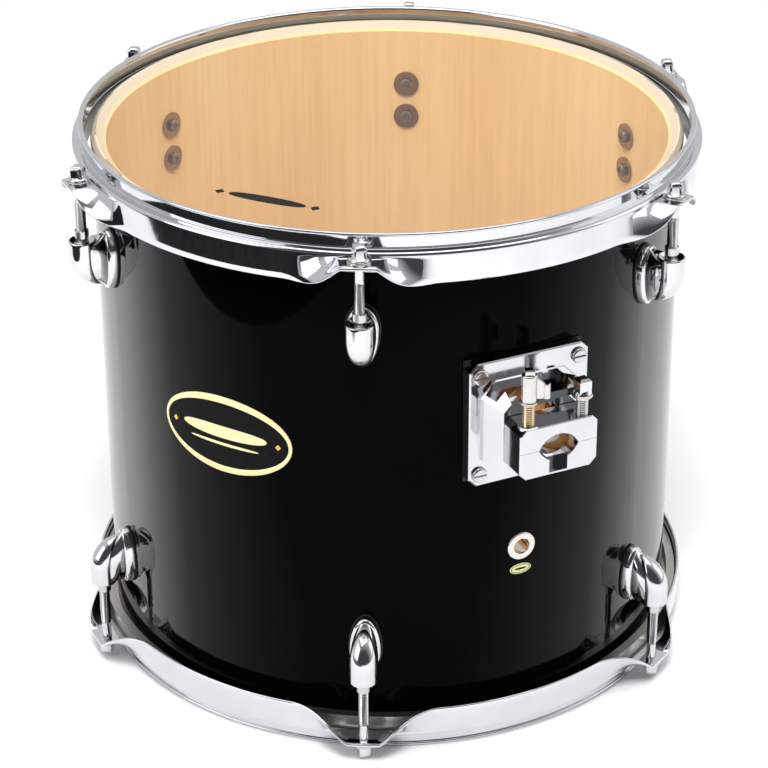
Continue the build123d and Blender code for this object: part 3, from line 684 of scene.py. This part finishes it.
def strip(angle, height, u, z, half_u, half_z, proud, depth=0.12 * MM, ends=0.5, steps=40):
    """A thin raised bar along the wrap; ends below 1 gives round ends, and 1 gives a diamond."""
    rows = []
    for k in range(steps + 1):
        along = -cos(pi * k / steps)
        half = bar_half(half_z, along, ends)
        corners = ((-half, proud - depth), (-half, proud), (half, proud), (half, proud - depth))
        across = [(height + z + dz, shell_radius + out) for dz, out in corners]
        rows.append([on_shell(angle, u + half_u * along, level, radius) for level, radius in across])
    return grid_mesh("strip", rows, cap_first=True, cap_last=True, crease=30.0)


def make_badge():
    """Oval badge: a pale gold border round a black field, with two bars and two diamonds for its mark."""
    half_u, half_z = badge_size.x / 2, badge_size.y / 2
    field_u, field_z = half_u - 1.7 * MM, half_z - 3.4 * MM
    field_proud, mark_proud, border_proud = 0.80 * MM, 0.88 * MM, 0.97 * MM
    border = [
        (half_u, half_z, 0.05 * MM),
        (half_u - 0.05 * MM, half_z - 0.05 * MM, 0.75 * MM),
        (half_u - 0.4 * MM, half_z - 0.4 * MM, border_proud),
        (field_u + 0.2 * MM, field_z + 0.2 * MM, border_proud),
        (field_u, field_z, field_proud),
    ]
    rim = grid_mesh("badge_border", oval_rings(badge_angle, badge_height, border), crease=40.0)
    piece("badge_border", rim, pale_gold, "drum", ["badge_plate"])
    field = [(field_u + 0.1 * MM, field_z + 0.1 * MM, 0.78 * MM)]
    for part in (0.97, 0.8, 0.6, 0.4, 0.2, 0.02):
        field.append((field_u * part, field_z * part, field_proud))
    rings = oval_rings(badge_angle, badge_height, field)
    ground = grid_mesh("badge_field", rings, cap_last=True, crease=40.0)
    piece("badge_field", ground, materials["badge_enamel"], "drum", ["badge_plate"])
    # each mark is (place along, place up, half length, half width)
    bars = [(0.0, 1.4 * MM, 24.5 * MM, 3.3 * MM), (0.0, -5.2 * MM, 20.0 * MM, 0.75 * MM)]
    marks = [strip(badge_angle, badge_height, *bar, mark_proud, ends=0.42) for bar in bars]
    piece("badge_bars", joined("badge_bars", marks), pale_gold, "drum", ["badge_plate"])
    diamonds = [(side * 30.5 * MM, 0.0, 1.5 * MM, 1.6 * MM) for side in (-1, 1)]
    gems = [strip(badge_angle, badge_height, *gem, mark_proud, ends=1.0, steps=8) for gem in diamonds]
    piece("badge_diamonds", joined("badge_diamonds", gems), deep_gold, "drum", ["badge_plate"])


def make_label():
    """Small oval sticker under the vent, with a dark ring and a dark bar in place of its print."""
    low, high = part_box("vent_label")
    height = (low.z + high.z) / 2
    half_u, half_z = (high.x - low.x) / 2, (high.z - low.z) / 2
    angle = -pi / 2
    face_proud, ink_foot, ink_proud = 0.17 * MM, 0.16 * MM, 0.20 * MM
    face = [(half_u, half_z, 0.03 * MM)]
    for part in (1.0, 0.5, 0.02):
        face.append((half_u * part, half_z * part, face_proud))
    mesh = grid_mesh("vent_label_face", oval_rings(angle, height, face, 48), cap_last=True)
    piece("vent_label_face", mesh, materials["label_print"], "drum", ["vent_label"])
    outer, inner = (half_u * 0.90, half_z * 0.82), (half_u * 0.84, half_z * 0.72)
    outline = [(*outer, ink_foot), (*outer, ink_proud), (*inner, ink_proud), (*inner, ink_foot)]
    parts = [grid_mesh("vent_label_ring", oval_rings(angle, height, outline, 48), close_rows=True)]
    parts.append(strip(angle, height, 0.0, 0.0, 3.4 * MM, 0.6 * MM, ink_proud, ink_proud - ink_foot))
    print_mesh = joined("vent_label_print", parts)
    piece("vent_label_print", print_mesh, black_ink, "drum", ["vent_label"])


def make_head_print():
    """A generic printed device on the batter head: one long lozenge between two small diamonds."""
    centre = Vector((-97.5 * MM, -70.5 * MM))
    along = Vector((36.0, -43.0)).normalized()
    across = Vector((-along.y, along.x))
    ink = 0.03 * MM
    steps = 40
    # each shape is (place along, half length, half width, roundness of its ends)
    lozenge = (0.0, 20.5 * MM, 3.6 * MM, 0.42)
    diamonds = [(side * 25.5 * MM, 2.6 * MM, 2.8 * MM, 1.0) for side in (-1, 1)]
    meshes = []
    for u, half_u, half_v, ends in [lozenge] + diamonds:
        rows = []
        for k in range(steps + 1):
            reach = -cos(pi * k / steps)
            half = bar_half(half_v, reach, ends)
            low = centre + along * (u + half_u * reach) - across * half
            high = centre + along * (u + half_u * reach) + across * half
            corners = ((low, 0.0), (low, ink), (high, ink), (high, 0.0))
            rows.append([(p.x, p.y, film_top + lift) for p, lift in corners])
        meshes.append(grid_mesh("print", rows, cap_first=True, cap_last=True))
    piece("head_print", joined("head_print", meshes), black_ink, "drum")


# ---------------------------------------------------------------- clamp bolts


def make_bolt_threads():
    """Helical threads round the plain shanks of the two clamp bolts."""
    root, crest, pitch = 2.66 * MM, 2.98 * MM, 1.0 * MM
    bolts = (("wing_bolt", "wing_steel", brass_thread), ("key_bolt", "rod_chrome", materials["rod_chrome"]))
    for name, slot, material in bolts:
        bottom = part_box(name)[0].z + 0.6 * MM
        washer_low, washer_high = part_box(f"{name}_washer")
        centre = (washer_low + washer_high) / 2
        rings = thread_rings(root, crest, bottom, washer_low.z - 0.1 * MM, pitch, 32)
        mesh = grid_mesh(f"{name}_thread", rings, crease=45.0)
        mesh.transform(Matrix.Translation((centre.x, centre.y, 0)))
        piece(f"{name}_thread", mesh, material, name)


# ---------------------------------------------------------------- studio
view_turn = radians(-25.6)
view_rise = radians(26.94)


def make_floor():
    half = 6.0
    corners = [(-half, -half, 0), (half, -half, 0), (half, half, 0), (-half, half, 0)]
    mesh = bpy.data.meshes.new("floor")
    mesh.from_pydata(corners, [], [(0, 1, 2, 3)])
    floor = bpy.data.objects.new("floor", mesh)
    bpy.context.scene.collection.objects.link(floor)
    floor.location.z = -0.2 * MM
    s = Shader("floor_paper")
    s.colour(s.ramp(s.noise(6.0, 3.0), [(0.3, 0.88), (0.7, 0.9)]))
    s.set(Roughness=0.9, Specular_IOR_Level=0.1)
    mesh.materials.append(s.material)


def make_flag():
    """A dark card beside the camera that only reflections see, for the greys in the chrome."""
    bearing = view_turn - radians(50.0)
    away = Vector((sin(bearing), -cos(bearing), 0.0))
    across = Vector((cos(bearing), sin(bearing), 0.0))
    # (distance from the drum, place to the side)
    places = ((0.6, -0.7), (0.6, 0.7), (2.6, 1.6), (2.6, -1.6))
    corners = [away * distance + across * side for distance, side in places]
    mesh = bpy.data.meshes.new("flag")
    mesh.from_pydata([(p.x, p.y, 1.0 * MM) for p in corners], [], [(0, 1, 2, 3)])
    flag = bpy.data.objects.new("flag", mesh)
    bpy.context.scene.collection.objects.link(flag)
    flag.visible_camera = False
    flag.visible_diffuse = False
    flag.visible_shadow = False
    s = Shader("flag_cloth")
    s.colour(s.ramp(s.noise(40.0, 3.0), [(0.3, 0.01), (0.7, 0.02)]))
    s.set(Roughness=0.9, Specular_IOR_Level=0.0)
    mesh.materials.append(s.material)


def area_light(name, place, target, size, power, tall=None):
    data = bpy.data.lights.new(name, "AREA")
    data.shape = "RECTANGLE"
    data.size = size
    data.size_y = tall or size
    data.energy = power
    light = bpy.data.objects.new(name, data)
    bpy.context.scene.collection.objects.link(light)
    light.location = place
    light.rotation_euler = (Vector(target) - Vector(place)).to_track_quat("-Z", "Y").to_euler()
    return light


def make_world():
    """A white studio, greyer low down in front of the drum, so that its gloss stays dark there."""
    world = bpy.data.worlds.new("studio")
    bpy.context.scene.world = world
    world.use_nodes = True
    tree = world.node_tree
    background = tree.nodes["Background"]
    place = tree.nodes.new("ShaderNodeTexCoord")
    dot = tree.nodes.new("ShaderNodeVectorMath")
    dot.operation = "DOT_PRODUCT"
    dot.inputs[1].default_value = (sin(view_turn), -cos(view_turn), 0.0)
    ramp = tree.nodes.new("ShaderNodeValToRGB")
    stops = ramp.color_ramp.elements
    stops[0].position, stops[0].color = 0.1, (1.0, 1.0, 1.0, 1.0)
    stops[1].position, stops[1].color = 0.7, (0.10, 0.10, 0.11, 1.0)
    tree.links.new(place.outputs["Generated"], dot.inputs[0])
    tree.links.new(dot.outputs["Value"], ramp.inputs["Fac"])
    tree.links.new(ramp.outputs["Color"], background.inputs["Color"])
    background.inputs["Strength"].default_value = 0.72


def make_lights():
    centre = (0.0, 0.0, 0.15)
    area_light("overhead", (0.0, 0.1, 1.9), centre, 1.8, 17.0)
    area_light("left_panel", (-1.6, -0.1, 0.9), centre, 1.2, 8.0, 1.4)
    area_light("right_panel", (1.5, -0.6, 0.9), centre, 1.2, 4.0, 1.4)
    # high over the camera, into the drum through its clear head; only its diffuse light counts
    towards = Vector((sin(view_turn), -cos(view_turn)))
    key = area_light("key", (0.9 * towards.x, 0.9 * towards.y, 1.6), (0.0, 0.05, 0.2), 0.5, 22.0)
    key.visible_glossy = False


def make_camera():
    """The photograph's view: a long lens, 27 degrees above the floor, to the left of the bracket."""
    distance = 1.358
    target = Vector((0.0, 0.0, 0.14485))
    roll = radians(-0.214)
    back = Vector((sin(view_turn) * cos(view_rise), -cos(view_turn) * cos(view_rise), sin(view_rise)))
    right = Vector((cos(view_turn), sin(view_turn), 0.0))
    up = back.cross(right)
    side = cos(roll) * right + sin(roll) * up
    top = cos(roll) * up - sin(roll) * right
    data = bpy.data.cameras.new("camera")
    data.lens = 117.94
    data.sensor_width = 36.0
    data.shift_x = -0.0051
    data.shift_y = -0.0419
    data.clip_start = 0.05
    camera = bpy.data.objects.new("camera", data)
    bpy.context.scene.collection.objects.link(camera)
    turn = Matrix((side, top, back)).transposed().to_4x4()
    camera.matrix_world = Matrix.Translation(target + distance * back) @ turn
    bpy.context.scene.camera = camera


paint_nodes()
make_hoops()
make_rods()
make_lugs()
make_badge()
make_label()
make_head_print()
make_bolt_threads()
make_floor()
make_flag()
make_world()
make_lights()
make_camera()
bpy.context.scene.view_settings.view_transform = "Standard"
